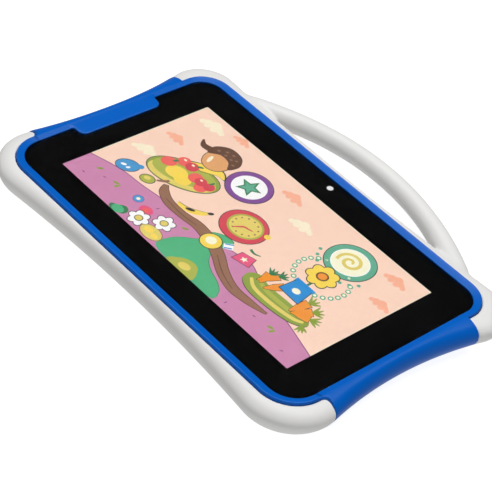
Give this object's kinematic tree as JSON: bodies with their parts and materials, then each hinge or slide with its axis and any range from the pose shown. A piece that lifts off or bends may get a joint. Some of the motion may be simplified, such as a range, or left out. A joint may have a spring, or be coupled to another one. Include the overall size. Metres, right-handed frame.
{
  "type": "kids toy tablet",
  "caption": "Thin child's tablet in a waisted blue case with white corner bumpers, an arched carrying handle, rocking and sprung side keys and a sliding memory card.",
  "frame": {"origin": "centre of the case's flat back, the face that the tablet lies on, midway between the ends and midway between the core's long sides", "axes": "+X along the long side, from the side with the keys and sockets to the plain side; +Y from the lower bumper to the carrying handle; +Z out of the screen"},
  "size_m": [0.2178, 0.1648, 0.0155],
  "materials": {
    "blue_case": "satin moulded blue",
    "white_bumper": "satin moulded warm white",
    "white_key": "satin moulded warm white",
    "grey_shell": "fine matte texture",
    "black_frame": "matte black",
    "gasket": "matte black foam",
    "cover_glass": "polished, black border printed behind",
    "display": "dark panel that shows the picture",
    "light_guide": "clear acrylic",
    "steel_sheet": "thin bright sheet",
    "screw_steel": "zinc plated",
    "circuit_board": "green solder mask",
    "battery_foil": "laminated pouch foil",
    "amber_film": "amber polyimide film",
    "lens_window": "polished, dark"
  },
  "bodies": {
    "tablet": {"inner_case": "blue_case", "upper_bumper_with_handle": "white_bumper", "lower_bumper": "white_bumper", "upper_bumper_screw_1": "screw_steel", "upper_bumper_screw_2": "screw_steel", "upper_bumper_screw_3": "screw_steel", "upper_bumper_screw_4": "screw_steel", "lower_bumper_screw_1": "screw_steel", "lower_bumper_screw_2": "screw_steel", "lower_bumper_screw_3": "screw_steel", "lower_bumper_screw_4": "screw_steel", "rear_housing": "grey_shell", "mid_frame": "black_frame", "glass_gasket": "gasket", "cover_glass": "cover_glass", "display_panel": "display", "light_guide": "light_guide", "display_backplate": "steel_sheet", "housing_screw_1": "screw_steel", "housing_screw_2": "screw_steel", "housing_screw_3": "screw_steel", "housing_screw_4": "screw_steel", "main_board": "circuit_board", "processor": "black_frame", "shield_can": "steel_sheet", "usb_connector": "steel_sheet", "headphone_jack": "black_frame", "card_socket": "steel_sheet", "microphone": "steel_sheet", "power_switch": "black_frame", "volume_up_switch": "black_frame", "volume_down_switch": "black_frame", "battery_cell_left": "battery_foil", "battery_cell_right": "battery_foil", "battery_lead": "amber_film", "display_flex": "amber_film", "wifi_antenna": "amber_film", "front_camera": "black_frame", "rear_camera": "black_frame", "rear_camera_window": "lens_window", "speaker_left": "black_frame", "speaker_mesh_left": "steel_sheet", "speaker_right": "black_frame", "speaker_mesh_right": "steel_sheet"},
    "power_button": {"power_button": "white_key"},
    "volume_rocker": {"volume_rocker": "white_key"},
    "memory_card": {"memory_card": "black_frame"}
  },
  "joints": [
    {"name": "power_press", "type": "slide", "parent": "tablet", "child": "power_button", "axis": [1, 0, 0], "range_m": [0, 0.0004], "stiffness_N_per_m": 300},
    {"name": "volume_rock", "type": "hinge", "parent": "tablet", "child": "volume_rocker", "pos_m": [-0.0972, 0.016, 0.0095], "axis": [0, 0, 1], "range_deg": [-2, 2], "stiffness_Nm_per_rad": 0.05},
    {"name": "card_slide", "type": "slide", "parent": "tablet", "child": "memory_card", "axis": [-1, 0, 0], "range_m": [0, 0.01]}
  ]
}
